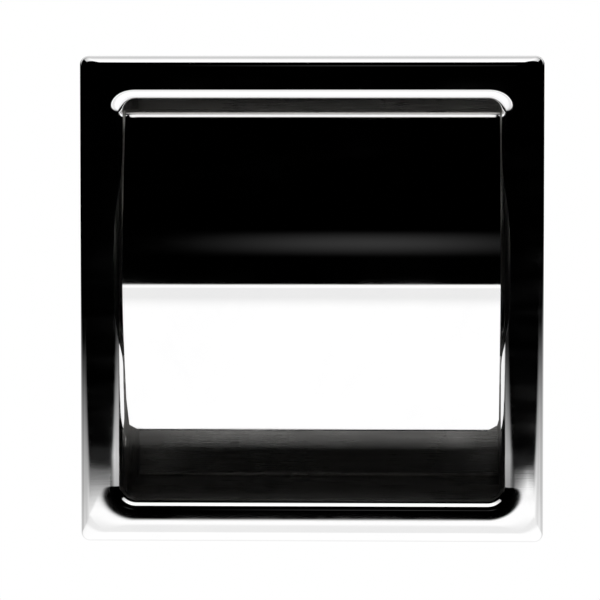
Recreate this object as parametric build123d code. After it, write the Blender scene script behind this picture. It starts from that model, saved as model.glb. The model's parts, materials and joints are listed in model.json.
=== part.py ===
from build123d import *
import math
import os

# Recessed toilet paper holder with a hinged cover, in millimetres.
# +X is right, +Z is up and -Y is the front. The wall's surface is the plane y = 0 and the
# origin is the middle of the face frame on it.

# Face frame: a drawn sheet flange with rolled outer and inner edges and a throat.
FACE_WIDTH = 171.0
FACE_HEIGHT = 179.4
FACE_DEPTH = 5.0
FACE_CORNER_R = 4.1
OUTER_ROLL_R = 4.0
INNER_ROLL_R = 3.4
FACE_SHEET = 0.9
OPENING_WIDTH = 139.8
OPENING_HEIGHT = 148.2
OPENING_CORNER_R = 5.0
THROAT_END_Y = 4.0

# Recess box: sheet 0.9 thick, its inside flush with the outside of the throat.
SHEET = 0.9
BOX_HALF_X = OPENING_WIDTH / 2 + SHEET
BOX_HALF_Z = OPENING_HEIGHT / 2 + SHEET
BOX_FRONT_Y = 0.6
BOX_BACK_Y = 90.0
WRAP_BEND_R = 1.6
LAP_WIDTH = 11.0
LAP_RELIEF = 4.0

# Cover: a curved sheet, its highest point standing in front of the frame.
COVER_WIDTH = 138.8
COVER_SHEET = 0.9
COVER_APEX_Y = -9.0
COVER_APEX_Z = 8.0
COVER_TOP_Z = 70.0
COVER_BOTTOM_Z = -50.0
COVER_UPPER_R = 100.0
COVER_LEAN_BACK = 19.5
COVER_LOWER_R = 50.0
COVER_LEAN = 26.0
COVER_ROLL_R = 4.2
COVER_LIP_END_Y = 15.0
COVER_CORNER_R = 4.5

# Hinge: fixed pins through the side plates, on which the cover's ears turn.
PIVOT_Y = 10.0
PIVOT_Z = 65.5
EAR_R = 5.0
PIN_R = 2.0
PIN_CLEARANCE = 0.06
PIN_HEAD_R = 2.8
PIN_HEAD_LENGTH = 1.6
PIN_HEAD_FILLET = 0.6
PIN_TAIL = 3.6
PIN_TAIL_CHAMFER = 0.4
WASHER_R = 4.2
WASHER_CLEARANCE = 0.1
CLIP_R = 4.6
CLIP_THICKNESS = 1.2
CLIP_CHAMFER = 0.5
CLIP_SLOTS = 3
CLIP_SLOT_END = 3.2
CLIP_SLOT_HALF_WIDTH = 0.3

# Stops: a bracket on each side plate with a rubber bumper behind the cover.
STOP_Z = -28.0
STOP_REACH = 10.5
STOP_HALF_HEIGHT = 6.0
STOP_FOOT = 12.0
STOP_SHEET = 1.2
STOP_DISTANCE = 3.2
STOP_CORNER_R = 2.5
BUMPER_R = 3.2
BUMPER_FILLET = 1.2
BUMPER_STEM_R = 1.7
BARB_R = 2.3
BARB_LENGTH = 1.4
BARB_CHAMFER = 0.5
BUMPER_GAP = 0.25
BUMPER_X = 65.4

# Roller: two telescoping tubes with a spring inside, held in two sockets. Its shoulders
# stand a little off the noses of the sockets.
ROLLER_Y = 36.0
ROLLER_Z = -10.0
SOCKET_FLANGE_R = 20.0
SOCKET_ROOT_R = 11.4
SOCKET_NOSE_R = 10.0
SOCKET_DEPTH = 10.5
SOCKET_SHEET = 1.2
SOCKET_ROOT_FILLET = 1.0
SOCKET_NOSE_CHAMFER = 1.0
TIP_R = 4.0
TIP_CLEARANCE = 0.08
TIP_LENGTH = 7.0
SOCKET_RIVETS = 3
SOCKET_RIVET_CIRCLE_R = 15.8
RIVET_R = 1.6
RIVET_HEAD_R = 3.0
RIVET_HEAD_HEIGHT = 1.1
RIVET_HEAD_FILLET = 0.7
RIVET_TAIL_R = 2.6
RIVET_TAIL_FILLET = 0.5
SLEEVE_R = 9.5
SLEEVE_BORE_R = 8.3
SLEEVE_END_X = 36.0
PLUNGER_R = 8.25
PLUNGER_BORE_R = 7.2
PLUNGER_START_X = -12.0
PLUG_LENGTH = 6.0
PLUG_CHAMFER = 0.5
COLLAR_LENGTH = 10.0
COLLAR_GAP = 0.3
COLLAR_CHAMFER = 1.0
TUBE_START_CHAMFER = 0.4
TUBE_END_CHAMFER = 0.8
PLUNGER_FLOOR = 1.2
SHOULDER_X = BOX_HALF_X - SOCKET_DEPTH - COLLAR_GAP
SLEEVE_START_X = -SHOULDER_X + COLLAR_LENGTH / 2
SPRING_R = 6.2
SPRING_WIRE_R = 0.55
SPRING_TURNS = 9

# Mounting: a strap behind the box grips the wall board, and two screws draw it forward.
BOARD_BACK_Y = 13.0
CLAMP_SHEET = 1.6
CLAMP_WIDTH = 26.0
CLAMP_GAP = 1.6
CLAMP_FOOT = 9.0
CLAMP_BEND_R = 1.4
CLAMP_BASE_Y = 95.0
CLAMP_SCREW_X = 0.0
CLAMP_SCREW_Z = 30.0
CLAMP_SCREW_R = 1.9
CLAMP_HOLE_R = 2.2
CLAMP_HEAD_R = 3.8
CLAMP_HEAD_HEIGHT = 2.2
CLAMP_HEAD_FILLET = 1.2
CROSS_LENGTH = 4.0
CROSS_WIDTH = 0.9
CROSS_DEPTH = 1.3
CLAMP_SCREW_CHAMFER = 0.5
CLAMP_SCREW_END_Y = 106.0
NUT_FLATS = 8.0
NUT_THICKNESS = 3.2
SIDE_HOLE_R = 2.4
SIDE_HOLE_Y = 22.0
SIDE_HOLE_SPACING = 110.0

SIDES = {"left": -1, "right": 1}
# Larger than the whole holder.
BEYOND = 400.0
# How far a cutting body reaches past the surface that it enters or leaves by.
OVERRUN = 1.0
# Two places closer than this count as the same.
SAME = 1e-4


def slab(width, height, radius, y_front, y_back):
    """A rounded rectangle in X and Z, solid from y_front to y_back."""
    face = Plane.XZ.offset(-y_front) * RectangleRounded(width, height, radius)
    return extrude(face, amount=y_back - y_front, dir=(0, 1, 0))


def block(low, high):
    """A box between two corners."""
    size = [high[i] - low[i] for i in range(3)]
    middle = [(high[i] + low[i]) / 2 for i in range(3)]
    return Pos(*middle) * Box(*size)


def rod(radius, x_low, x_high, y, z):
    """A round bar along X."""
    return Pos((x_low + x_high) / 2, y, z) * Rot(0, 90, 0) * Cylinder(radius, x_high - x_low)


def depth_rod(radius, y_low, y_high, x, z):
    """A round bar along Y."""
    return Pos(x, (y_low + y_high) / 2, z) * Rot(90, 0, 0) * Cylinder(radius, y_high - y_low)


def on_side(part, side):
    """A part made for the right side, as it is or mirrored to the left."""
    return part if side > 0 else mirror(part, Plane.YZ)


def rim_edges(part, y, outside):
    """The edges in the plane y that belong to a rim's outer or inner outline."""
    limit_x = (FACE_WIDTH + OPENING_WIDTH) / 4
    limit_z = (FACE_HEIGHT + OPENING_HEIGHT) / 4
    chosen = []
    for edge in part.edges():
        in_plane = max(abs((edge @ 0).Y - y), abs((edge @ 1).Y - y)) < SAME
        middle = edge @ 0.5
        is_outer = abs(middle.X) > limit_x or abs(middle.Z) > limit_z
        if in_plane and is_outer == outside:
            chosen.append(edge)
    return chosen


def face_frame():
    """The drawn flange, open at the back, with the throat that enters the box."""
    shell = slab(FACE_WIDTH, FACE_HEIGHT, FACE_CORNER_R, -FACE_DEPTH, 0)
    shell -= slab(OPENING_WIDTH, OPENING_HEIGHT, OPENING_CORNER_R, -FACE_DEPTH, 0)
    shell = fillet(rim_edges(shell, -FACE_DEPTH, True), OUTER_ROLL_R)
    shell = fillet(rim_edges(shell, -FACE_DEPTH, False), INNER_ROLL_R)
    throat_r = OPENING_CORNER_R + SHEET
    inner = FACE_SHEET - FACE_DEPTH
    hollow = slab(
        FACE_WIDTH - 2 * FACE_SHEET,
        FACE_HEIGHT - 2 * FACE_SHEET,
        FACE_CORNER_R - FACE_SHEET,
        inner,
        0,
    )
    hollow -= slab(2 * BOX_HALF_X, 2 * BOX_HALF_Z, throat_r, inner, 0)
    hollow = fillet(rim_edges(hollow, inner, True), OUTER_ROLL_R - FACE_SHEET)
    hollow = fillet(rim_edges(hollow, inner, False), INNER_ROLL_R - FACE_SHEET)
    shell -= hollow
    throat = slab(2 * BOX_HALF_X, 2 * BOX_HALF_Z, throat_r, 0, THROAT_END_Y)
    throat -= slab(OPENING_WIDTH, OPENING_HEIGHT, OPENING_CORNER_R, 0, THROAT_END_Y)
    return shell + throat


def channel(half_height, front_y, back_y, bend_r):
    """A solid with the outline of a box seen from its side, its two back edges rounded."""
    solid = block((-BOX_HALF_X, front_y, -half_height), (BOX_HALF_X, back_y, half_height))
    back_edges = [
        edge
        for edge in solid.edges().filter_by(Axis.X)
        if abs(edge.center().Y - back_y) < SAME
    ]
    return fillet(back_edges, bend_r)


def recess_wrap():
    """One sheet bent into the ceiling, the back wall and the floor."""
    wrap = channel(BOX_HALF_Z + SHEET, BOX_FRONT_Y, BOX_BACK_Y + SHEET, WRAP_BEND_R + SHEET)
    wrap -= channel(BOX_HALF_Z, BOX_FRONT_Y - OVERRUN, BOX_BACK_Y, WRAP_BEND_R)
    hole_end = BOX_BACK_Y + SHEET + OVERRUN
    for z in (-CLAMP_SCREW_Z, CLAMP_SCREW_Z):
        wrap -= depth_rod(CLAMP_HOLE_R, BOX_BACK_Y - OVERRUN, hole_end, CLAMP_SCREW_X, z)
    return wrap


def side_hole_heights():
    """Z of the two screw holes in a side plate."""
    return (-SIDE_HOLE_SPACING / 2, SIDE_HOLE_SPACING / 2)


def side_plate(side):
    """A side of the box, with flanges lapped over the wrap on three sides."""
    outer_z = BOX_HALF_Z + 2 * SHEET
    outer_y = BOX_BACK_Y + 2 * SHEET
    inside_x = BOX_HALF_X
    outside_x = BOX_HALF_X + SHEET
    plate = block((inside_x, BOX_FRONT_Y, -outer_z), (outside_x, outer_y, outer_z))
    lap_x = inside_x - LAP_WIDTH
    lap_front = BOX_FRONT_Y + LAP_WIDTH
    lap_back = outer_y - LAP_RELIEF
    for low_z, high_z in ((outer_z - SHEET, outer_z), (-outer_z, SHEET - outer_z)):
        plate += block((lap_x, lap_front, low_z), (inside_x, lap_back, high_z))
    lap_z = outer_z - LAP_RELIEF
    plate += block((lap_x, outer_y - SHEET, -lap_z), (inside_x, outer_y, lap_z))
    holes = [(PIN_R, PIVOT_Y, PIVOT_Z)]
    holes += [(SIDE_HOLE_R, SIDE_HOLE_Y, side_z) for side_z in side_hole_heights()]
    holes += [(RIVET_R, y, z) for y, z in rivet_places()]
    for radius, y, z in holes:
        plate -= rod(radius, inside_x - OVERRUN, outside_x + OVERRUN, y, z)
    return on_side(plate, side)


def cover_outline(inset):
    """Lines and arcs of the cover's side view, as (Y, Z) points, inset from its outer face.

    From the lip over the top roll, down a straight lean, round the upper and the lower arc
    that meet at the apex, and down the lower lean.
    """
    back = math.radians(COVER_LEAN_BACK)
    lean = math.radians(COVER_LEAN)
    arc_y = COVER_APEX_Y + COVER_UPPER_R
    lower_y = COVER_APEX_Y + COVER_LOWER_R
    roll_z = COVER_TOP_Z - COVER_ROLL_R
    straight = roll_z - COVER_APEX_Z - (COVER_UPPER_R - COVER_ROLL_R) * math.sin(back)
    roll_y = arc_y - (COVER_UPPER_R - COVER_ROLL_R) * math.cos(back) + straight * math.tan(back)

    def turn(centre_y, centre_z, radius, angle):
        """A point of an arc, its angle measured up from straight ahead."""
        reach = radius - inset
        return (centre_y - reach * math.cos(angle), centre_z + reach * math.sin(angle))

    def upper(angle):
        return turn(arc_y, COVER_APEX_Z, COVER_UPPER_R, angle)

    def lower(angle):
        return turn(lower_y, COVER_APEX_Z, COVER_LOWER_R, -angle)

    def roll(angle):
        return turn(roll_y, roll_z, COVER_ROLL_R, angle)

    top = math.pi / 2
    bend_y, bend_z = lower(lean)
    bottom_y = bend_y + (bend_z - COVER_BOTTOM_Z) * math.tan(lean)
    return [
        ("line", (COVER_LIP_END_Y, COVER_TOP_Z - inset), roll(top)),
        ("arc", roll(top), roll((top + back) / 2), roll(back)),
        ("line", roll(back), upper(back)),
        ("arc", upper(back), upper(back / 2), upper(0)),
        ("arc", lower(0), lower(lean / 2), lower(lean)),
        ("line", lower(lean), (bottom_y, COVER_BOTTOM_Z)),
    ]


def side_edges(steps):
    """Edges in the plane x = 0 from a list of lines and arcs given by Y and Z."""
    edges = []
    for kind, *points in steps:
        places = [Vector(0, y, z) for y, z in points]
        if kind == "line":
            edges += [Edge.make_line(a, b) for a, b in zip(places, places[1:])]
        else:
            edges.append(Edge.make_three_point_arc(*places))
    return edges


def side_prism(steps, x_low, x_high):
    """The closed side view of lines and arcs, extruded along X."""
    closing = ("line", steps[-1][-1], steps[0][1])
    face = Face(Wire(side_edges([*steps, closing])))
    return Pos(x_low, 0, 0) * extrude(face, amount=x_high - x_low, dir=(1, 0, 0))


def cover_sheet(x_low, x_high):
    """The curved sheet, as the space between its outer and its inner face."""
    outer = cover_outline(0)
    inner = [(kind, *points[::-1]) for kind, *points in cover_outline(COVER_SHEET)[::-1]]
    joint = ("line", outer[-1][-1], inner[0][1])
    return side_prism([*outer, joint, *inner], x_low, x_high)


def cover_plate():
    """The sheet with rounded lower corners and two ears drilled for the pins."""
    half = COVER_WIDTH / 2
    sheet = cover_sheet(-half, half)
    middle_z = COVER_BOTTOM_Z + BEYOND / 2
    window = slab(COVER_WIDTH, BEYOND, COVER_CORNER_R, -BEYOND / 2, BEYOND / 2)
    sheet = sheet & (Pos(0, 0, middle_z) * window)
    outline = cover_outline(0)
    back = [outline[-1][-1], (BEYOND, COVER_BOTTOM_Z), (BEYOND, COVER_TOP_Z)]
    behind_face = side_prism([*outline, ("line", *back)], 0, COVER_SHEET)
    for side in SIDES.values():
        low = half - COVER_SHEET if side > 0 else -half
        high = low + COVER_SHEET
        blank = rod(EAR_R, low, high, PIVOT_Y, PIVOT_Z)
        blank += block((low, COVER_APEX_Y, PIVOT_Z - EAR_R), (high, PIVOT_Y, COVER_TOP_Z))
        sheet += blank & (Pos(low, 0, 0) * behind_face)
        bore_r = PIN_R + PIN_CLEARANCE
        sheet -= rod(bore_r, low - OVERRUN, high + OVERRUN, PIVOT_Y, PIVOT_Z)
    return sheet


def hinge_pin():
    """Headed pin: the head inside the ear, the shank out through the side plate."""
    ear_x = COVER_WIDTH / 2 - COVER_SHEET
    head_x = ear_x - WASHER_CLEARANCE
    pin = rod(PIN_R, head_x, BOX_HALF_X + SHEET + PIN_TAIL, PIVOT_Y, PIVOT_Z)
    pin += rod(PIN_HEAD_R, head_x - PIN_HEAD_LENGTH, head_x, PIVOT_Y, PIVOT_Z)
    pin = chamfer(pin.faces().sort_by(Axis.X)[-1].edges(), PIN_TAIL_CHAMFER)
    return fillet(pin.faces().sort_by(Axis.X)[0].edges(), PIN_HEAD_FILLET)


def hinge_washer():
    """Spacer on the pin between the ear and the side plate."""
    low = COVER_WIDTH / 2 + WASHER_CLEARANCE
    ring = rod(WASHER_R, low, BOX_HALF_X, PIVOT_Y, PIVOT_Z)
    return ring - rod(PIN_R, low - OVERRUN, BOX_HALF_X + OVERRUN, PIVOT_Y, PIVOT_Z)


def pin_clip():
    """Push-on retainer outside the side plate, with slots cut outwards from its bore."""
    low = BOX_HALF_X + SHEET
    high = low + CLIP_THICKNESS
    ring = rod(CLIP_R, low, high, PIVOT_Y, PIVOT_Z)
    ring = chamfer(ring.faces().sort_by(Axis.X)[-1].edges(), CLIP_CHAMFER)
    ring -= rod(PIN_R, low - OVERRUN, high + OVERRUN, PIVOT_Y, PIVOT_Z)
    slot = block(
        (low - OVERRUN, 0, -CLIP_SLOT_HALF_WIDTH),
        (high + OVERRUN, CLIP_SLOT_END, CLIP_SLOT_HALF_WIDTH),
    )
    for index in range(CLIP_SLOTS):
        ring -= Pos(0, PIVOT_Y, PIVOT_Z) * Rot(360 / CLIP_SLOTS * index, 0, 0) * slot
    return ring


def stop_frame():
    """Where the bumper's axis starts on the cover's inner face, and which way it leans."""
    lean = math.radians(COVER_LEAN)
    bend_y = COVER_APEX_Y + COVER_LOWER_R * (1 - math.cos(lean))
    bend_z = COVER_APEX_Z - COVER_LOWER_R * math.sin(lean)
    outer_y = bend_y + (bend_z - STOP_Z) * math.tan(lean)
    inner_y = outer_y + COVER_SHEET / math.cos(lean)
    return Pos(0, inner_y, STOP_Z) * Rot(COVER_LEAN, 0, 0)


def stop_tab():
    """Bracket: a foot welded to the side plate and a tab that carries the bumper."""
    near = BOX_HALF_X - STOP_REACH
    foot_x = BOX_HALF_X - STOP_SHEET
    low_z = -STOP_HALF_HEIGHT
    high_z = STOP_HALF_HEIGHT
    back_y = STOP_DISTANCE + STOP_SHEET
    tab = block((near, STOP_DISTANCE, low_z), (BOX_HALF_X, back_y, high_z))
    foot_back = STOP_DISTANCE + STOP_FOOT
    tab += block((foot_x, STOP_DISTANCE, low_z), (BOX_HALF_X, foot_back, high_z))
    inner_corner = [
        edge
        for edge in tab.edges().filter_by(Axis.Y)
        if abs(edge.center().X - near) < SAME
    ]
    tab = fillet(inner_corner, STOP_CORNER_R)
    tab -= depth_rod(BUMPER_STEM_R, STOP_DISTANCE - OVERRUN, back_y + OVERRUN, BUMPER_X, 0)
    return stop_frame() * tab


def bumper():
    """Rubber dome on a stem pushed through the stop tab."""
    head = depth_rod(BUMPER_R, BUMPER_GAP, STOP_DISTANCE, BUMPER_X, 0)
    head = fillet(head.faces().sort_by(Axis.Y)[0].edges(), BUMPER_FILLET)
    back_y = STOP_DISTANCE + STOP_SHEET
    stem = depth_rod(BUMPER_STEM_R, STOP_DISTANCE, back_y, BUMPER_X, 0)
    barb = depth_rod(BARB_R, back_y, back_y + BARB_LENGTH, BUMPER_X, 0)
    barb = chamfer(barb.faces().sort_by(Axis.Y)[-1].edges(), BARB_CHAMFER)
    return stop_frame() * (head + stem + barb)


def rivet_places():
    """Y and Z of the rivets round a socket."""
    places = []
    for index in range(SOCKET_RIVETS):
        angle = math.radians(90 + 360 * index / SOCKET_RIVETS)
        y = ROLLER_Y + SOCKET_RIVET_CIRCLE_R * math.cos(angle)
        z = ROLLER_Z + SOCKET_RIVET_CIRCLE_R * math.sin(angle)
        places.append((y, z))
    return places


def turned(points, y, z):
    """A solid of revolution about a line along X, from points of (x, radius)."""
    face = Face(Wire.make_polygon([Vector(x, r, 0) for x, r in points], close=True))
    return Pos(0, y, z) * revolve(face, Axis.X, 360)


def roller_socket():
    """Pressed socket: a riveted flange and a raised nose with a hole for the tip."""
    wall = BOX_HALF_X
    nose = wall - SOCKET_DEPTH
    flange = wall - SOCKET_SHEET
    floor = nose + SOCKET_SHEET
    bore = TIP_R + TIP_CLEARANCE
    points = [
        (wall, SOCKET_FLANGE_R),
        (flange, SOCKET_FLANGE_R),
        (flange, SOCKET_ROOT_R + SOCKET_ROOT_FILLET),
        (flange - SOCKET_ROOT_FILLET, SOCKET_ROOT_R),
        (nose + SOCKET_NOSE_CHAMFER, SOCKET_NOSE_R),
        (nose, SOCKET_NOSE_R - SOCKET_NOSE_CHAMFER),
        (nose, bore),
        (floor, bore),
        (floor, SOCKET_NOSE_R - SOCKET_NOSE_CHAMFER - SOCKET_SHEET / 2),
        (floor + SOCKET_NOSE_CHAMFER, SOCKET_NOSE_R - SOCKET_SHEET),
        (wall, SOCKET_ROOT_R - SOCKET_SHEET),
    ]
    socket = turned(points, ROLLER_Y, ROLLER_Z)
    for y, z in rivet_places():
        socket -= rod(RIVET_R, flange - OVERRUN, wall + OVERRUN, y, z)
    return socket


def socket_rivets():
    """The rivets that hold a socket to its side plate."""
    inside = BOX_HALF_X - SOCKET_SHEET
    outside = BOX_HALF_X + SHEET
    rivets = []
    for y, z in rivet_places():
        rivet = rod(RIVET_R, inside, outside, y, z)
        head = rod(RIVET_HEAD_R, inside - RIVET_HEAD_HEIGHT, inside, y, z)
        rivet += fillet(head.faces().sort_by(Axis.X)[0].edges(), RIVET_HEAD_FILLET)
        tail = rod(RIVET_TAIL_R, outside, outside + RIVET_HEAD_HEIGHT, y, z)
        rivet += fillet(tail.faces().sort_by(Axis.X)[-1].edges(), RIVET_TAIL_FILLET)
        rivets.append(rivet)
    return Compound(children=rivets)


def roller_sleeve():
    """Outer tube of the roller."""
    start = SLEEVE_START_X
    points = [
        (start, SLEEVE_BORE_R),
        (start, SLEEVE_R - TUBE_START_CHAMFER),
        (start + TUBE_START_CHAMFER, SLEEVE_R),
        (SLEEVE_END_X - TUBE_END_CHAMFER, SLEEVE_R),
        (SLEEVE_END_X, SLEEVE_R - TUBE_END_CHAMFER),
        (SLEEVE_END_X, SLEEVE_BORE_R),
    ]
    return turned(points, ROLLER_Y, ROLLER_Z)


def roller_end_left():
    """Plug in the sleeve's outer end, with a collar and the tip that sits in the socket."""
    collar = SLEEVE_START_X
    shoulder = -SHOULDER_X
    plug = collar + PLUG_LENGTH
    tip = shoulder - TIP_LENGTH
    points = [
        (plug, 0),
        (plug, SLEEVE_BORE_R - PLUG_CHAMFER),
        (plug - PLUG_CHAMFER, SLEEVE_BORE_R),
        (collar, SLEEVE_BORE_R),
        (collar, SLEEVE_R),
        (shoulder + COLLAR_CHAMFER, SLEEVE_R),
        (shoulder, SLEEVE_R - COLLAR_CHAMFER),
        (shoulder, TIP_R),
        (tip + COLLAR_CHAMFER, TIP_R),
        (tip, TIP_R - COLLAR_CHAMFER),
        (tip, 0),
    ]
    return turned(points, ROLLER_Y, ROLLER_Z)


def roller_plunger():
    """Inner tube that slides in the sleeve, closed at the spring's end."""
    end = SHOULDER_X - COLLAR_LENGTH
    points = [
        (PLUNGER_START_X, 0),
        (PLUNGER_START_X, PLUNGER_R - PLUG_CHAMFER),
        (PLUNGER_START_X + PLUG_CHAMFER, PLUNGER_R),
        (end, PLUNGER_R),
        (end, PLUNGER_BORE_R),
        (PLUNGER_START_X + PLUNGER_FLOOR, PLUNGER_BORE_R),
        (PLUNGER_START_X + PLUNGER_FLOOR, 0),
    ]
    return turned(points, ROLLER_Y, ROLLER_Z)


def roller_end_right():
    """Plug in the plunger's outer end, with a collar and a tip."""
    collar = SHOULDER_X - COLLAR_LENGTH
    plug = collar - PLUG_LENGTH
    tip = SHOULDER_X + TIP_LENGTH
    points = [
        (plug, 0),
        (plug, PLUNGER_BORE_R - PLUG_CHAMFER),
        (plug + PLUG_CHAMFER, PLUNGER_BORE_R),
        (collar, PLUNGER_BORE_R),
        (collar, SLEEVE_R - PLUG_CHAMFER),
        (collar + PLUG_CHAMFER, SLEEVE_R),
        (SHOULDER_X - COLLAR_CHAMFER, SLEEVE_R),
        (SHOULDER_X, SLEEVE_R - COLLAR_CHAMFER),
        (SHOULDER_X, TIP_R),
        (tip - COLLAR_CHAMFER, TIP_R),
        (tip, TIP_R - COLLAR_CHAMFER),
        (tip, 0),
    ]
    return turned(points, ROLLER_Y, ROLLER_Z)


def roller_spring():
    """Compression spring between the left plug and the plunger's closed end."""
    low = SLEEVE_START_X + PLUG_LENGTH + SPRING_WIRE_R
    high = PLUNGER_START_X - SPRING_WIRE_R
    helix = Edge.make_helix((high - low) / SPRING_TURNS, high - low, SPRING_R)
    start = Plane(helix @ 0, z_dir=helix % 0)
    coil = sweep(start * Circle(SPRING_WIRE_R), path=helix)
    return Pos(low, ROLLER_Y, ROLLER_Z) * Rot(0, 90, 0) * coil


def clamp_bracket():
    """U-shaped strap: a base behind the box, two arms forward and a foot on each."""
    low_x = CLAMP_SCREW_X - CLAMP_WIDTH / 2
    high_x = CLAMP_SCREW_X + CLAMP_WIDTH / 2
    inner_z = BOX_HALF_Z + 2 * SHEET + CLAMP_GAP
    outer_z = inner_z + CLAMP_SHEET
    back = CLAMP_BASE_Y + CLAMP_SHEET
    strap = block((low_x, CLAMP_BASE_Y, -outer_z), (high_x, back, outer_z))
    for side in SIDES.values():
        arm_z = sorted((side * inner_z, side * outer_z))
        foot_z = sorted((side * inner_z, side * (outer_z + CLAMP_FOOT)))
        strap += block((low_x, BOARD_BACK_Y, arm_z[0]), (high_x, back, arm_z[1]))
        foot_back = BOARD_BACK_Y + CLAMP_SHEET
        strap += block((low_x, BOARD_BACK_Y, foot_z[0]), (high_x, foot_back, foot_z[1]))
    corners = [
        edge
        for edge in strap.edges().filter_by(Axis.X)
        if abs(edge.center().Y - back) < SAME
        or (abs(edge.center().Y - BOARD_BACK_Y) < SAME and abs(edge.center().Z) < outer_z)
    ]
    strap = fillet(corners, CLAMP_BEND_R)
    for z in (-CLAMP_SCREW_Z, CLAMP_SCREW_Z):
        hole = depth_rod(CLAMP_HOLE_R, CLAMP_BASE_Y - OVERRUN, back + OVERRUN, CLAMP_SCREW_X, z)
        strap -= hole
    return strap


def clamp_screws():
    """Pan-head screws from inside the box to the strap, with a cross recess."""
    screws = []
    for side in SIDES.values():
        z = side * CLAMP_SCREW_Z
        head_y = BOX_BACK_Y - CLAMP_HEAD_HEIGHT
        head = depth_rod(CLAMP_HEAD_R, head_y, BOX_BACK_Y, CLAMP_SCREW_X, z)
        head = fillet(head.faces().sort_by(Axis.Y)[0].edges(), CLAMP_HEAD_FILLET)
        for length, width in ((CROSS_LENGTH, CROSS_WIDTH), (CROSS_WIDTH, CROSS_LENGTH)):
            head -= block(
                (CLAMP_SCREW_X - length / 2, head_y - OVERRUN, z - width / 2),
                (CLAMP_SCREW_X + length / 2, head_y + CROSS_DEPTH, z + width / 2),
            )
        shank = depth_rod(CLAMP_SCREW_R, BOX_BACK_Y, CLAMP_SCREW_END_Y, CLAMP_SCREW_X, z)
        shank = chamfer(shank.faces().sort_by(Axis.Y)[-1].edges(), CLAMP_SCREW_CHAMFER)
        screws.append(head + shank)
    return Compound(children=screws)


def clamp_nuts():
    """Hexagon nuts behind the strap."""
    low = CLAMP_BASE_Y + CLAMP_SHEET
    nuts = []
    for side in SIDES.values():
        z = side * CLAMP_SCREW_Z
        hexagon = Plane.XZ.offset(-low) * RegularPolygon(NUT_FLATS / 2, 6, major_radius=False)
        nut = Pos(CLAMP_SCREW_X, 0, z) * extrude(hexagon, amount=NUT_THICKNESS, dir=(0, 1, 0))
        nut_end = low + NUT_THICKNESS
        nut -= depth_rod(CLAMP_SCREW_R, low - OVERRUN, nut_end + OVERRUN, CLAMP_SCREW_X, z)
        nuts.append(nut)
    return Compound(children=nuts)


parts = {
    "face_frame": face_frame(),
    "recess_wrap": recess_wrap(),
    "cover_plate": cover_plate(),
    "roller_sleeve": roller_sleeve(),
    "roller_end_left": roller_end_left(),
    "roller_plunger": roller_plunger(),
    "roller_end_right": roller_end_right(),
    "roller_spring": roller_spring(),
    "clamp_bracket": clamp_bracket(),
    "clamp_screws": clamp_screws(),
    "clamp_nuts": clamp_nuts(),
}
for name, side in SIDES.items():
    parts[f"side_plate_{name}"] = side_plate(side)
    parts[f"hinge_pin_{name}"] = on_side(hinge_pin(), side)
    parts[f"hinge_washer_{name}"] = on_side(hinge_washer(), side)
    parts[f"pin_clip_{name}"] = on_side(pin_clip(), side)
    parts[f"stop_tab_{name}"] = on_side(stop_tab(), side)
    parts[f"bumper_{name}"] = on_side(bumper(), side)
    parts[f"roller_socket_{name}"] = on_side(roller_socket(), side)
    parts[f"socket_rivets_{name}"] = on_side(socket_rivets(), side)

os.makedirs("parts", exist_ok=True)
for name, part in parts.items():
    export_step(part, f"parts/{name}.step")
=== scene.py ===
import json
import math

import bmesh
import bpy
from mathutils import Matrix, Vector


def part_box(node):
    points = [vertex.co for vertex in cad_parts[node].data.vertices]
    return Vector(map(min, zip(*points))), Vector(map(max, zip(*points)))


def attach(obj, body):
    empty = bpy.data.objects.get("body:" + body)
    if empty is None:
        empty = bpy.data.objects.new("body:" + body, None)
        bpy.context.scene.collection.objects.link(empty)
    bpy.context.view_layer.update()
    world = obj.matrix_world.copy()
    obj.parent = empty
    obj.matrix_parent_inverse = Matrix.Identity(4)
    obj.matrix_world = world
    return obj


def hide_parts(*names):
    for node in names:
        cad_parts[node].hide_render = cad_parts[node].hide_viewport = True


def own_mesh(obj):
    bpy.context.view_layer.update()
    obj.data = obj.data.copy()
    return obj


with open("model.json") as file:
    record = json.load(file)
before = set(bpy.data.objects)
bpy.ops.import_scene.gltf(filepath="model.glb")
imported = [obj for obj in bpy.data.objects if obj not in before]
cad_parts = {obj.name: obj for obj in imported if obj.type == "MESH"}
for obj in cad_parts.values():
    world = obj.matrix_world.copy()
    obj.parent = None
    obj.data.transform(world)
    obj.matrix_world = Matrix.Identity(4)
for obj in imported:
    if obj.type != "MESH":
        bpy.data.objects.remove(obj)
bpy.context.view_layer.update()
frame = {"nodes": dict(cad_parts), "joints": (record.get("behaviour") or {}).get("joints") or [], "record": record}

# ---------------------------------------------------------------- the shapes, in metres
MM = 0.001
RAD = math.radians

face_low, face_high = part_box("face_frame")
cover_low, cover_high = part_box("cover_plate")

# Face frame: a sheet flange with rolled edges, seen in section from its outer to its inner edge.
FACE_HALF_X = face_high[0]
FACE_HALF_Z = face_high[2]
FACE_FRONT_Y = face_low[1]
THROAT_END_Y = face_high[1]
RIM_WIDTH = 15.6 * MM
OUTER_ROLL_R = 4.0 * MM
TOP_ROLL_R = 3.4 * MM
SIDE_ROLL_R = 5.4 * MM
BOTTOM_ROLL_R = 4.4 * MM
FACE_SHEET = 0.9 * MM
OUTER_CORNER_R = 3.2 * MM
OPENING_CORNER_R = 5.0 * MM
CROWN_TILT = RAD(2.0)
SIDE_CROWN_TILT = RAD(3.6)
CORNERS = ((1, 1), (-1, 1), (-1, -1), (1, -1))
CORNER_STEPS = 20
STRAIGHT_STEPS = 12
ROLL_STEPS = 24
BACK_STEPS = 12

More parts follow.
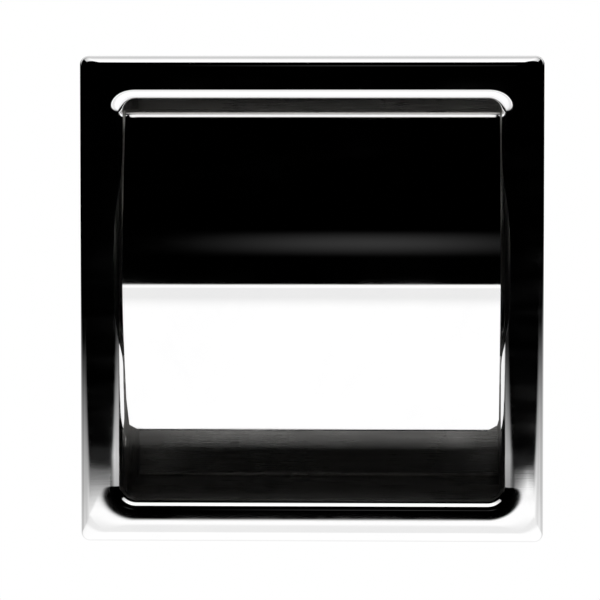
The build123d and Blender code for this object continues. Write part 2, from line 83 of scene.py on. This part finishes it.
# Cover: its side view, from its box and its radii.
COVER_HALF_X = cover_high[0]
COVER_APEX_Y = cover_low[1]
COVER_APEX_Z = 8.0 * MM
COVER_TOP_Z = cover_high[2]
COVER_BOTTOM_Z = cover_low[2]
COVER_LIP_END_Y = cover_high[1]
COVER_UPPER_R = 100.0 * MM
COVER_LEAN_BACK = RAD(19.5)
COVER_LOWER_R = 50.0 * MM
COVER_LEAN = RAD(26.0)
COVER_ROLL_R = 4.2 * MM
COVER_CORNER_R = 4.5 * MM
COVER_SHEET = 0.9 * MM
EAR_R = 5.0 * MM
EAR_INSET = 0.05 * MM
EAR_TOP_GAP = 0.01 * MM
LIP_STEPS = 8
UPPER_LEAN_STEPS = 20
UPPER_STEPS = 50
LOWER_STEPS = 30
LOWER_LEAN_STEPS = 16
EAR_STEPS = 20
COVER_COLUMNS = 40

# Roller spring: a coil with closed ends.
SPRING_WIRE_R = 0.55 * MM
SPRING_TURNS = 11
SPRING_CLOSED_TURNS = 1
TURN_STEPS = 28
WIRE_SIDES = 12

# Small roundings and joins.
WELD_DISTANCE = 1e-7
RIM_ROUNDING = 0.12 * MM
COVER_ROUNDING = 0.22 * MM
RIM_EDGE_ANGLE = 50
COVER_EDGE_ANGLE = 35
BEVEL_SEGMENTS = 2
SHARP_ANGLE = RAD(30)


def arc(centre, radius, start, end, steps):
    """Points of a circle's arc in a plane, both ends included, angles in radians."""
    points = []
    for i in range(steps + 1):
        angle = start + (end - start) * i / steps
        points.append((centre[0] + radius * math.cos(angle), centre[1] + radius * math.sin(angle)))
    return points


def straight_line(start, end, steps):
    """Points from start towards end, the end itself left out."""
    return [
        tuple(a + (b - a) * i / steps for a, b in zip(start, end)) for i in range(steps)
    ]


def new_object(name, verts, faces):
    """A mesh object from points and faces, its normals made consistent."""
    mesh = bpy.data.meshes.new(name)
    mesh.from_pydata(verts, [], faces)
    edit = bmesh.new()
    edit.from_mesh(mesh)
    bmesh.ops.remove_doubles(edit, verts=edit.verts, dist=WELD_DISTANCE)
    bmesh.ops.recalc_face_normals(edit, faces=edit.faces)
    edit.to_mesh(mesh)
    edit.free()
    mesh.polygons.foreach_set("use_smooth", [True] * len(mesh.polygons))
    mesh.update()
    piece = bpy.data.objects.new(name, mesh)
    bpy.context.scene.collection.objects.link(piece)
    return piece


# ---------------------------------------------------------------- face frame
def rim_section(inner, tilt):
    """The closed section of the flange: (distance in from the outer edge, depth y).

    inner is the radius of its inner roll and tilt how far its crown leans at either end.
    """
    outer = OUTER_ROLL_R
    left = outer * (1 - math.sin(tilt))
    right = RIM_WIDTH - inner * (1 - math.sin(tilt))
    crown_r = (right - left) / 2 / math.sin(tilt)
    edge_y = FACE_FRONT_Y + crown_r * (1 - math.cos(tilt))
    crown_centre = ((left + right) / 2, FACE_FRONT_Y + crown_r)
    outer_centre = (outer, edge_y + outer * math.cos(tilt))
    inner_centre = (RIM_WIDTH - inner, edge_y + inner * math.cos(tilt))
    front = 1.5 * math.pi
    skin = [(0, 0)]
    skin += arc(outer_centre, outer, math.pi, front - tilt, ROLL_STEPS)
    skin += arc(crown_centre, crown_r, front - tilt, front + tilt, ROLL_STEPS)[1:-1]
    skin += arc(inner_centre, inner, front + tilt, 2 * math.pi, ROLL_STEPS)
    skin += [(RIM_WIDTH, THROAT_END_Y)]
    back = [(RIM_WIDTH - FACE_SHEET, THROAT_END_Y)]
    back += arc(inner_centre, inner - FACE_SHEET, 2 * math.pi, front + tilt, BACK_STEPS)
    back += arc(outer_centre, outer - FACE_SHEET, front - tilt, math.pi, BACK_STEPS)
    back += [(FACE_SHEET, 0)]
    return skin + back


def corner_radius(u):
    """The plan radius of the flange's corner at distance u from the outer edge."""
    inner = OPENING_CORNER_R + RIM_WIDTH - u
    share = min(u / (RIM_WIDTH - SIDE_ROLL_R), 1)
    return OUTER_CORNER_R + (inner - OUTER_CORNER_R) * share * share * (3 - 2 * share)


def rim_point(corner, angle, along, u):
    """X and Z on the outline at distance u, past a corner at an angle or along the next side."""
    radius = corner_radius(u)
    ends = []
    for sign_x, sign_z in (CORNERS[corner], CORNERS[(corner + 1) % 4]):
        x = sign_x * (FACE_HALF_X - u - radius) + radius * math.cos(angle)
        z = sign_z * (FACE_HALF_Z - u - radius) + radius * math.sin(angle)
        ends.append((x, z))
    return tuple(a + (b - a) * along for a, b in zip(*ends))


def make_face_frame():
    """The flange, its roll wider at the sides and the bottom than at the top."""
    columns = []
    for corner in range(4):
        for i in range(CORNER_STEPS + STRAIGHT_STEPS):
            turn = min(i / CORNER_STEPS, 1)
            along = max(i - CORNER_STEPS, 0) / STRAIGHT_STEPS
            angle = RAD(90) * (corner + turn)
            sideways = math.cos(angle) ** 2
            level = TOP_ROLL_R if math.sin(angle) > 0 else BOTTOM_ROLL_R
            inner = level + (SIDE_ROLL_R - level) * sideways
            tilt = CROWN_TILT + (SIDE_CROWN_TILT - CROWN_TILT) * sideways
            column = []
            for u, y in rim_section(inner, tilt):
                x, z = rim_point(corner, angle, along, u)
                column.append((x, y, z))
            columns.append(column)
    rows = len(columns[0])
    verts = [point for column in columns for point in column]
    faces = []
    for k in range(len(columns)):
        here = k * rows
        there = (k + 1) % len(columns) * rows
        for i in range(rows):
            j = (i + 1) % rows
            faces.append((here + i, here + j, there + j, there + i))
    return new_object("face_frame_skin", verts, faces)


# ---------------------------------------------------------------- cover
def cover_line(inset):
    """Points (y, z) of the cover's side view, from the lip's end down to the bottom edge."""
    roll_z = COVER_TOP_Z - COVER_ROLL_R
    reach = COVER_UPPER_R - COVER_ROLL_R
    upper_centre = (COVER_APEX_Y + COVER_UPPER_R, COVER_APEX_Z)
    lower_centre = (COVER_APEX_Y + COVER_LOWER_R, COVER_APEX_Z)
    straight = roll_z - COVER_APEX_Z - reach * math.sin(COVER_LEAN_BACK)
    roll_y = upper_centre[0] - reach * math.cos(COVER_LEAN_BACK)
    roll_centre = (roll_y + straight * math.tan(COVER_LEAN_BACK), roll_z)
    lip = (COVER_LIP_END_Y, COVER_TOP_Z - inset)
    roll = arc(roll_centre, COVER_ROLL_R - inset, RAD(90), RAD(180) - COVER_LEAN_BACK, ROLL_STEPS)
    upper = arc(upper_centre, COVER_UPPER_R - inset, RAD(180) - COVER_LEAN_BACK, RAD(180), UPPER_STEPS)
    lower = arc(lower_centre, COVER_LOWER_R - inset, RAD(180), RAD(180) + COVER_LEAN, LOWER_STEPS)
    end_y = lower[-1][0] + (lower[-1][1] - COVER_BOTTOM_Z) * math.tan(COVER_LEAN)
    points = straight_line(lip, roll[0], LIP_STEPS) + roll
    points += straight_line(roll[-1], upper[0], UPPER_LEAN_STEPS)[1:] + upper + lower[1:]
    points += straight_line(lower[-1], (end_y, COVER_BOTTOM_Z), LOWER_LEAN_STEPS)[1:]
    points.append((end_y, COVER_BOTTOM_Z))
    return points


def half_width(z):
    """Half of the cover's width at a height, less at its rounded lower corners."""
    low = COVER_BOTTOM_Z + COVER_CORNER_R
    if z >= low:
        return COVER_HALF_X
    drop = min(low - z, COVER_CORNER_R)
    return COVER_HALF_X - COVER_CORNER_R + math.sqrt(COVER_CORNER_R**2 - drop**2)


def make_cover():
    """The cover's sheet as two skins a sheet's thickness apart, with its ears."""
    outer = cover_line(0)
    inner = cover_line(COVER_SHEET)
    columns = COVER_COLUMNS
    verts = []
    for line in (outer, inner):
        for y, z in line:
            half = half_width(z)
            verts += [(half * (2 * c / columns - 1), y, z) for c in range(columns + 1)]
    rows = len(outer)
    wide = columns + 1
    faces = []
    for skin in range(2):
        base = skin * rows * wide
        for r in range(rows - 1):
            for c in range(columns):
                a = base + r * wide + c
                faces.append((a, a + 1, a + wide + 1, a + wide))
    other = rows * wide
    for r in range(rows - 1):
        for c in (0, columns):
            a = r * wide + c
            faces.append((a, a + wide, a + wide + other, a + other))
    for c in range(columns):
        for r in (0, rows - 1):
            a = r * wide + c
            faces.append((a, a + 1, a + 1 + other, a + other))
    for side in (-1, 1):
        add_ear(verts, faces, side)
    return new_object("cover_skin", verts, faces)


def ear_outline():
    """Points (y, z) of an ear, from the inner face of the sheet round the pin."""
    hinge = next(joint for joint in frame["joints"] if joint["name"] == "cover_hinge")
    _, pivot_y, pivot_z = hinge["pos_m"]
    base_z = pivot_z - EAR_R
    top_z = COVER_TOP_Z - COVER_SHEET / 2
    start = math.acos((top_z - pivot_z) / EAR_R)
    front = [p for p in cover_line(COVER_SHEET / 2) if p[1] > base_z and p[0] < pivot_y]
    front = [p for p in front if p[1] < top_z - EAR_TOP_GAP]
    points = arc((pivot_y, pivot_z), EAR_R, math.pi / 2 - start, -math.pi / 2, EAR_STEPS)
    return points + front[::-1] + [(front[0][0], top_z)]


def add_ear(verts, faces, side):
    """Appends one ear, a flat plate in line with the sheet's side edge."""
    outline = ear_outline()
    first = len(verts)
    count = len(outline)
    for x in (COVER_HALF_X - EAR_INSET, COVER_HALF_X - COVER_SHEET):
        verts += [(side * x, y, z) for y, z in outline]
    faces.append(tuple(range(first, first + count)))
    faces.append(tuple(range(first + count, first + 2 * count)))
    for i in range(count):
        j = (i + 1) % count
        faces.append((first + i, first + j, first + count + j, first + count + i))


# ---------------------------------------------------------------- roller spring
def make_spring():
    """A wound wire that fills the spring's box, its first and last turns closed up."""
    low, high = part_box("roller_spring")
    middle_y = (low[1] + high[1]) / 2
    middle_z = (low[2] + high[2]) / 2
    coil_r = (high[2] - low[2]) / 2 - SPRING_WIRE_R
    start_x = low[0] + SPRING_WIRE_R
    length = high[0] - low[0] - 2 * SPRING_WIRE_R
    closed = 2 * SPRING_WIRE_R * SPRING_CLOSED_TURNS
    pitch = (length - 2 * closed) / (SPRING_TURNS - 2 * SPRING_CLOSED_TURNS)
    verts = []
    steps = SPRING_TURNS * TURN_STEPS
    for i in range(steps + 1):
        turn = i / TURN_STEPS
        first = min(turn, SPRING_CLOSED_TURNS)
        last = max(turn - (SPRING_TURNS - SPRING_CLOSED_TURNS), 0)
        x = start_x + pitch * (turn - first - last) + 2 * SPRING_WIRE_R * (first + last)
        angle = math.tau * turn
        for k in range(WIRE_SIDES):
            side = math.tau * k / WIRE_SIDES
            reach = coil_r + SPRING_WIRE_R * math.cos(side)
            y = middle_y + reach * math.cos(angle)
            z = middle_z + reach * math.sin(angle)
            verts.append((x + SPRING_WIRE_R * math.sin(side), y, z))
    faces = [tuple(range(WIRE_SIDES)), tuple(range(steps * WIRE_SIDES, (steps + 1) * WIRE_SIDES))]
    for i in range(steps):
        for k in range(WIRE_SIDES):
            m = (k + 1) % WIRE_SIDES
            here = i * WIRE_SIDES
            faces.append((here + k, here + m, here + WIRE_SIDES + m, here + WIRE_SIDES + k))
    return new_object("spring_coil", verts, faces)


def soften(piece, width, angle):
    """A small rounding on the piece's sharp edges, so that they catch the light."""
    piece.data.set_sharp_from_angle(angle=RAD(angle))
    bevel = piece.modifiers.new("rounded edges", "BEVEL")
    bevel.width = width
    bevel.segments = BEVEL_SEGMENTS
    bevel.limit_method = "ANGLE"
    bevel.angle_limit = RAD(angle)
    bevel.harden_normals = True


# ---------------------------------------------------------------- materials
class Shader:
    """A node material built step by step; positions are the piece's own, in metres."""

    def __init__(self, name):
        self.material = bpy.data.materials.new(name)
        self.material.use_nodes = True
        self.tree = self.material.node_tree
        self.bsdf = self.tree.nodes["Principled BSDF"]
        self.position = self.node("ShaderNodeTexCoord").outputs["Object"]

    def node(self, kind, **settings):
        made = self.tree.nodes.new(kind)
        for key, value in settings.items():
            setattr(made, key, value)
        return made

    def link(self, source, target):
        self.tree.links.new(source, target)

    def fixed(self, **values):
        """Constant values on the shader's own sockets, by name with _ for a space."""
        for key, value in values.items():
            self.bsdf.inputs[key.replace("_", " ")].default_value = value

    def stretched(self, scale):
        """The position, scaled by a different factor along each axis."""
        mapping = self.node("ShaderNodeMapping")
        mapping.inputs["Scale"].default_value = scale
        self.link(self.position, mapping.inputs["Vector"])
        return mapping.outputs["Vector"]

    def noise(self, scale, detail=4.0, rough=0.5, vector=None, distortion=0.0):
        made = self.node("ShaderNodeTexNoise")
        made.inputs["Scale"].default_value = scale
        made.inputs["Detail"].default_value = detail
        made.inputs["Roughness"].default_value = rough
        made.inputs["Distortion"].default_value = distortion
        self.link(vector or self.position, made.inputs["Vector"])
        return made.outputs["Fac"]

    def ramp(self, value, stops):
        """A colour ramp; each stop is (place, grey or colour)."""
        made = self.node("ShaderNodeValToRGB")
        elements = made.color_ramp.elements
        while len(elements) < len(stops):
            elements.new(0.5)
        for element, (place, colour) in zip(elements, stops):
            element.position = place
            grey = not isinstance(colour, tuple)
            element.color = (colour, colour, colour, 1) if grey else (*colour, 1)
        self.link(value, made.inputs["Fac"])
        return made.outputs["Color"]

    def spread(self, value, low, high, start=0.0, end=1.0):
        """Maps a value from start..end to low..high."""
        made = self.node("ShaderNodeMapRange")
        for key, number in (("From Min", start), ("From Max", end), ("To Min", low), ("To Max", high)):
            made.inputs[key].default_value = number
        self.link(value, made.inputs["Value"])
        return made.outputs["Result"]

    def bump(self, value, strength, distance, under=None):
        """A bump from a height, on top of another bump if there is one."""
        made = self.node("ShaderNodeBump")
        made.inputs["Strength"].default_value = strength
        made.inputs["Distance"].default_value = distance
        self.link(value, made.inputs["Height"])
        if under:
            self.link(under, made.inputs["Normal"])
        return made.outputs["Normal"]

    def finish(self, colour=None, roughness=None, normal=None):
        for key, value in (("Base Color", colour), ("Roughness", roughness), ("Normal", normal)):
            if value:
                self.link(value, self.bsdf.inputs[key])
        return self.material


# Polished sheet.
POLISHED_DARK = (0.90, 0.90, 0.905)
POLISHED_LIGHT = (0.96, 0.958, 0.955)
WIPING_STRETCH = (25, 25, 160)
BUFFING_STRETCH = (60, 2500, 2500)

# Brushed sheet: features a metre along the brush lines and across them.
BRUSHED_COLOUR = (0.60, 0.59, 0.575)
LINES_ALONG = 40.0
LINES_ACROSS = 3000.0
BANDS_ALONG = 12.0
BANDS_ACROSS = 9000.0 / 14
LINES_SHARE = 0.6

# How dark the mottling of each kind of surface goes.
BRUSHED_DARKENING = 0.86
METAL_DARKENING = 0.78
MOULDED_DARKENING = 0.88


def polished_steel():
    """Mirror-polished stainless sheet with faint smudges, wiping marks and buffing lines."""
    shader = Shader("polished steel")
    shader.fixed(Metallic=1.0)
    smudges = shader.noise(scale=38, detail=5, rough=0.6, distortion=0.6)
    wiping = shader.noise(scale=1.0, detail=3, rough=0.5, vector=shader.stretched(WIPING_STRETCH))
    tone = shader.ramp(smudges, ((0.0, POLISHED_DARK), (1.0, POLISHED_LIGHT)))
    cloud = shader.node("ShaderNodeMath", operation="MULTIPLY")
    shader.link(smudges, cloud.inputs[0])
    shader.link(wiping, cloud.inputs[1])
    rough = shader.spread(cloud.outputs[0], low=0.02, high=0.075, start=0.12, end=0.5)
    buffing = shader.noise(scale=1.0, detail=2, rough=0.5, vector=shader.stretched(BUFFING_STRETCH))
    normal = shader.bump(buffing, strength=0.02, distance=0.00002)
    return shader.finish(tone, rough, normal)


def darkened(colour, share):
    return tuple(c * share for c in colour)


def brushed_steel(name, along):
    """Stainless sheet with fine brush lines along one axis."""
    shader = Shader(name)
    shader.fixed(Metallic=1.0)
    fine = tuple(LINES_ALONG if axis == along else LINES_ACROSS for axis in "XYZ")
    coarse = tuple(BANDS_ALONG if axis == along else BANDS_ACROSS for axis in "XYZ")
    lines = shader.noise(scale=1.0, detail=3, rough=0.6, vector=shader.stretched(fine))
    bands = shader.noise(scale=1.0, detail=2, rough=0.5, vector=shader.stretched(coarse))
    cloud = shader.noise(scale=30, detail=4, rough=0.55)
    darker = darkened(BRUSHED_COLOUR, BRUSHED_DARKENING)
    tone = shader.ramp(bands, ((0.25, darker), (0.75, BRUSHED_COLOUR)))
    mixed = shader.node("ShaderNodeMath", operation="MULTIPLY_ADD")
    shader.link(lines, mixed.inputs[0])
    mixed.inputs[1].default_value = LINES_SHARE
    shader.link(cloud, mixed.inputs[2])
    roughness = shader.spread(mixed.outputs[0], low=0.20, high=0.36, start=0.5, end=1.1)
    normal = shader.bump(lines, strength=0.35, distance=0.00002)
    normal = shader.bump(bands, strength=0.25, distance=0.00004, under=normal)
    return shader.finish(tone, roughness, normal)


def plain_metal(name, colour, rough, grain_scale=3600.0):
    """Small metal hardware: soft mottling and a fine grain."""
    shader = Shader(name)
    shader.fixed(Metallic=1.0)
    mottling = shader.noise(scale=260, detail=5, rough=0.6)
    fine = shader.noise(scale=grain_scale, detail=3, rough=0.6)
    tone = shader.ramp(mottling, ((0.3, darkened(colour, METAL_DARKENING)), (0.7, colour)))
    roughness = shader.spread(mottling, low=rough[0], high=rough[1], start=0.3, end=0.7)
    normal = shader.bump(fine, strength=0.25, distance=0.00003)
    return shader.finish(tone, roughness, normal)


def moulded(name, colour, rough, grain_scale=3000.0, strength=0.15):
    """Moulded plastic, nylon or rubber: slight colour change and a fine surface grain."""
    shader = Shader(name)
    shader.fixed(Metallic=0.0)
    mottling = shader.noise(scale=140, detail=4, rough=0.5)
    fine = shader.noise(scale=grain_scale, detail=4, rough=0.6)
    tone = shader.ramp(mottling, ((0.3, darkened(colour, MOULDED_DARKENING)), (0.7, colour)))
    roughness = shader.spread(mottling, low=rough[0], high=rough[1], start=0.3, end=0.7)
    normal = shader.bump(fine, strength=strength, distance=0.00004)
    return shader.finish(tone, roughness, normal)


def give(piece, material):
    """Puts one material in every slot of a piece."""
    if not piece.data.materials:
        piece.data.materials.append(material)
    for index in range(len(piece.data.materials)):
        piece.data.materials[index] = material


mirror = polished_steel()
slot_materials = {
    "polished_steel": mirror,
    "plain_steel": plain_metal("satin steel", (0.58, 0.575, 0.565), (0.22, 0.38)),
    "spring_steel": plain_metal("spring steel", (0.36, 0.36, 0.37), (0.25, 0.4)),
    "roller_chrome": plain_metal("chromed tube", (0.80, 0.80, 0.81), (0.06, 0.14), 1200.0),
    "roller_plastic": moulded("grey plastic", (0.62, 0.62, 0.61), (0.28, 0.42)),
    "zinc_steel": plain_metal("zinc plate", (0.66, 0.66, 0.64), (0.30, 0.5)),
    "nylon": moulded("nylon", (0.74, 0.73, 0.69), (0.4, 0.55)),
    "rubber": moulded("rubber", (0.03, 0.03, 0.03), (0.6, 0.8), 2000.0, 0.3),
}
node_materials = {
    "recess_wrap": brushed_steel("brushed wrap", "X"),
    "side_plate_left": brushed_steel("brushed side", "Z"),
}
node_materials["side_plate_right"] = node_materials["side_plate_left"]
slot_of = {row["node"]: row["material_slot"] for row in frame["record"]["subparts"]}
for name, node in frame["nodes"].items():
    give(node, node_materials.get(name) or slot_materials[slot_of[name]])
    node.data.set_sharp_from_angle(angle=SHARP_ANGLE)

# ---------------------------------------------------------------- finer pieces in place of plain ones
rim = make_face_frame()
give(rim, mirror)
soften(rim, RIM_ROUNDING, RIM_EDGE_ANGLE)
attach(rim, "housing")
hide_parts("face_frame")

cover = make_cover()
give(cover, mirror)
soften(cover, COVER_ROUNDING, COVER_EDGE_ANGLE)
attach(cover, "cover")
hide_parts("cover_plate")

spring = make_spring()
give(spring, slot_materials["spring_steel"])
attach(spring, "roller")
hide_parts("roller_spring")
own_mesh(spring)

# ---------------------------------------------------------------- stage, light and camera
WHITE = (1, 1, 1, 1)

# The floor, and where its light changes: pairs are where a change starts and ends.
FLOOR_Z = -0.36
FLOOR_FRONT_Y = -2.93
FLOOR_BACK_Y = 1.4
FAR_FLOOR_Y = 9.0
FLOOR_HALF_X = 7.0
POOL_X = 0.3
POOL_FADE = (0.3, 5.6)
POOL_STRENGTH = 1.08
# Painted shadow of the object: the floor's glow drops just behind it.
SHADOW_FADE = (0.05, 0.6)
SHADOW_STRENGTH = 0.72
# Painted shade: a darker band across the floor in front of the object.
SHADE_BAND_START_Y = (-2.1, -1.8)
SHADE_BAND_END_Y = (-1.1, -0.6)
SHADE_BAND_DEPTH = 0.17
FAR_FADE = (2.0, 8.0)
FAR_STRENGTH = 0.35
EDGE_SOFTNESS = 0.3
EDGE_SOFTENING = 0.5

# A dim upright card in front, and a large level one above.
STRIP_X = -0.02
STRIP_Y = -3.4
STRIP_Z = 0.78
STRIP_HALF_X = 0.3
STRIP_HALF_Z = 0.4
STRIP_STRENGTH = 0.035
LIGHT_Z = 1.7
LIGHT_HALF_X = 1.6
LIGHT_FRONT_Y = -1.4
LIGHT_BACK_Y = 1.0
LIGHT_BRIGHT_X = 0.2
LIGHT_BRIGHT_Y = -0.9
LIGHT_STRENGTH = 1.2
LIGHT_EDGE_SHARE = 0.55

# The surroundings shine from behind and above; pairs are directions.
REAR_FADE = (0.15, 0.6)
REAR_STRENGTH = 0.8
UP_FADE = (0.12, 0.4)

# The camera stands a little right of the holder and above its middle.
CAMERA_X = 0.037
CAMERA_DISTANCE = 1.33
CAMERA_Z = 0.075
AIM_X = -0.00423
VIEW_WIDTH = 0.2209
SENSOR = 36.0
CLIP_END = 50


class Glow:
    """A light-emitting material whose strength is worked out from places on the stage."""

    def __init__(self, name):
        self.material = bpy.data.materials.new(name)
        self.material.use_nodes = True
        self.tree = self.material.node_tree
        self.tree.nodes.remove(self.tree.nodes["Principled BSDF"])
        self.light = self.tree.nodes.new("ShaderNodeEmission")
        self.light.inputs["Color"].default_value = WHITE
        output = self.tree.nodes["Material Output"].inputs["Surface"]
        self.tree.links.new(self.light.outputs[0], output)

    def place(self):
        """The X, Y and Z of the point that is lit."""
        coordinates = self.tree.nodes.new("ShaderNodeTexCoord")
        split = self.tree.nodes.new("ShaderNodeSeparateXYZ")
        self.tree.links.new(coordinates.outputs["Object"], split.inputs[0])
        return split.outputs

    def math(self, operation, *values):
        made = self.tree.nodes.new("ShaderNodeMath")
        made.operation = operation
        for socket, value in zip(made.inputs, values):
            if isinstance(value, float):
                socket.default_value = value
            else:
                self.tree.links.new(value, socket)
        return made.outputs[0]

    def fade(self, value, start, end, low, high):
        """Smoothly from low to high while the value goes from start to end."""
        made = self.tree.nodes.new("ShaderNodeMapRange")
        made.interpolation_type = "SMOOTHSTEP"
        for key, number in (("From Min", start), ("From Max", end), ("To Min", low), ("To Max", high)):
            made.inputs[key].default_value = number
        self.tree.links.new(value, made.inputs["Value"])
        return made.outputs["Result"]

    def finish(self, strength):
        self.tree.links.new(strength, self.light.inputs["Strength"])
        return self.material


def card(name, corners, material, seen=False):
    """A flat stage card with four corners, hidden from the camera unless seen."""
    mesh = bpy.data.meshes.new(name)
    mesh.from_pydata(corners, [], [(0, 1, 2, 3)])
    piece = bpy.data.objects.new(name, mesh)
    bpy.context.scene.collection.objects.link(piece)
    piece.data.materials.append(material)
    piece.visible_camera = seen


def floor_material():
    """A pale floor that glows as a light: a pool of light that fades to the sides, far behind and at its front
    edge, with a painted shadow of the object just behind it and a band of painted shade in front.
    """
    glow = Glow("pale floor")
    x, y, _ = glow.place()
    aside = glow.math("ABSOLUTE", glow.math("SUBTRACT", x, POOL_X))
    strength = glow.fade(aside, *POOL_FADE, POOL_STRENGTH, 0.0)
    # Painted shadow of the object on the floor just behind it.
    painted_shadow = glow.fade(y, *SHADOW_FADE, 1.0, SHADOW_STRENGTH)
    # A band of painted shade across the floor in front of the object.
    shade_band_start = glow.fade(y, *SHADE_BAND_START_Y, 0.0, 1.0)
    shade_band_end = glow.fade(y, *SHADE_BAND_END_Y, 1.0, 0.0)
    shade_band = glow.math("MULTIPLY", shade_band_start, shade_band_end)
    shade = glow.math("MULTIPLY_ADD", shade_band, -SHADE_BAND_DEPTH, 1.0)
    behind = glow.fade(y, *FAR_FADE, 1.0, FAR_STRENGTH)
    softness = glow.math("MULTIPLY_ADD", aside, EDGE_SOFTENING, EDGE_SOFTNESS)
    depth = glow.math("SUBTRACT", y, FLOOR_FRONT_Y)
    front = glow.fade(glow.math("DIVIDE", depth, softness), 0.0, 1.0, 0.0, 1.0)
    for factor in (painted_shadow, shade, behind, front):
        strength = glow.math("MULTIPLY", strength, factor)
    return glow.finish(strength)


def strip_material():
    """A dim light that is brightest in the middle of its card and fades to its edges."""
    glow = Glow("soft strip")
    x, _, z = glow.place()
    strength = STRIP_STRENGTH
    for value, middle, half in ((x, STRIP_X, STRIP_HALF_X), (z, STRIP_Z, STRIP_HALF_Z)):
        distance = glow.math("ABSOLUTE", glow.math("SUBTRACT", value, middle))
        strength = glow.math("MULTIPLY", glow.fade(distance, 0.0, half, 1.0, 0.0), strength)
    return glow.finish(strength)


def overhead_material():
    """A light card that is brightest at its front and in its middle."""
    glow = Glow("overhead light")
    x, y, _ = glow.place()
    aside = glow.math("ABSOLUTE", x)
    sideways = glow.fade(aside, LIGHT_BRIGHT_X, LIGHT_HALF_X, 1.0, LIGHT_EDGE_SHARE)
    lengthways = glow.fade(y, LIGHT_BRIGHT_Y, LIGHT_BACK_Y, LIGHT_STRENGTH, LIGHT_EDGE_SHARE)
    return glow.finish(glow.math("MULTIPLY", sideways, lengthways))


def level_corners(half_x, y_low, y_high, z):
    """The corners of a level card."""
    return [(-half_x, y_low, z), (half_x, y_low, z), (half_x, y_high, z), (-half_x, y_high, z)]


def upright_corners(middle_x, y, middle_z, half_x, half_z):
    """The corners of a card that stands upright and faces along Y."""
    low_x, high_x = middle_x - half_x, middle_x + half_x
    low_z, high_z = middle_z - half_z, middle_z + half_z
    return [(low_x, y, low_z), (high_x, y, low_z), (high_x, y, high_z), (low_x, y, high_z)]


def make_world():
    """White to the camera; to the object, a soft light from behind and above only."""
    world = bpy.data.worlds.new("studio")
    bpy.context.scene.world = world
    world.use_nodes = True
    tree = world.node_tree
    background = tree.nodes["Background"]
    path = tree.nodes.new("ShaderNodeLightPath")
    room = tree.nodes.new("ShaderNodeTexCoord")
    split = tree.nodes.new("ShaderNodeSeparateXYZ")
    rear = tree.nodes.new("ShaderNodeMapRange")
    rear.interpolation_type = "SMOOTHSTEP"
    up = tree.nodes.new("ShaderNodeMapRange")
    for node, fade, strength in ((rear, REAR_FADE, REAR_STRENGTH), (up, UP_FADE, 1.0)):
        node.inputs["From Min"].default_value = fade[0]
        node.inputs["From Max"].default_value = fade[1]
        node.inputs["To Min"].default_value = 0.0
        node.inputs["To Max"].default_value = strength
    both = tree.nodes.new("ShaderNodeMath")
    both.operation = "MULTIPLY"
    pick = tree.nodes.new("ShaderNodeMix")
    pick.data_type = "FLOAT"
    pick.inputs[3].default_value = 1.0
    tree.links.new(room.outputs["Generated"], split.inputs[0])
    tree.links.new(split.outputs["Y"], rear.inputs["Value"])
    tree.links.new(split.outputs["Z"], up.inputs["Value"])
    tree.links.new(rear.outputs["Result"], both.inputs[0])
    tree.links.new(up.outputs["Result"], both.inputs[1])
    tree.links.new(path.outputs["Is Camera Ray"], pick.inputs[0])
    tree.links.new(both.outputs[0], pick.inputs[2])
    tree.links.new(pick.outputs[0], background.inputs["Strength"])
    background.inputs["Color"].default_value = WHITE


def make_camera():
    """The camera, aimed at the middle of the face frame."""
    place = Vector((CAMERA_X, FACE_FRONT_Y - CAMERA_DISTANCE, CAMERA_Z))
    aim = Vector((AIM_X, FACE_FRONT_Y, 0.0))
    data = bpy.data.cameras.new("camera")
    camera = bpy.data.objects.new("camera", data)
    bpy.context.scene.collection.objects.link(camera)
    camera.location = place
    camera.rotation_euler = (aim - place).to_track_quat("-Z", "Y").to_euler()
    data.sensor_width = SENSOR
    data.lens = SENSOR * (aim - place).length / VIEW_WIDTH
    data.clip_end = CLIP_END
    bpy.context.scene.camera = camera


floor_light = floor_material()
near_floor = level_corners(FLOOR_HALF_X, FLOOR_FRONT_Y, FLOOR_BACK_Y, FLOOR_Z)
far_floor = level_corners(FLOOR_HALF_X, FLOOR_BACK_Y, FAR_FLOOR_Y, FLOOR_Z)
strip = upright_corners(STRIP_X, STRIP_Y, STRIP_Z, STRIP_HALF_X, STRIP_HALF_Z)
overhead = level_corners(LIGHT_HALF_X, LIGHT_FRONT_Y, LIGHT_BACK_Y, LIGHT_Z)
card("floor", near_floor, floor_light, seen=True)
card("far_floor", far_floor, floor_light)
card("soft_strip", strip, strip_material())
card("overhead_light", overhead, overhead_material())
make_world()
make_camera()
bpy.context.scene.view_settings.view_transform = "Standard"
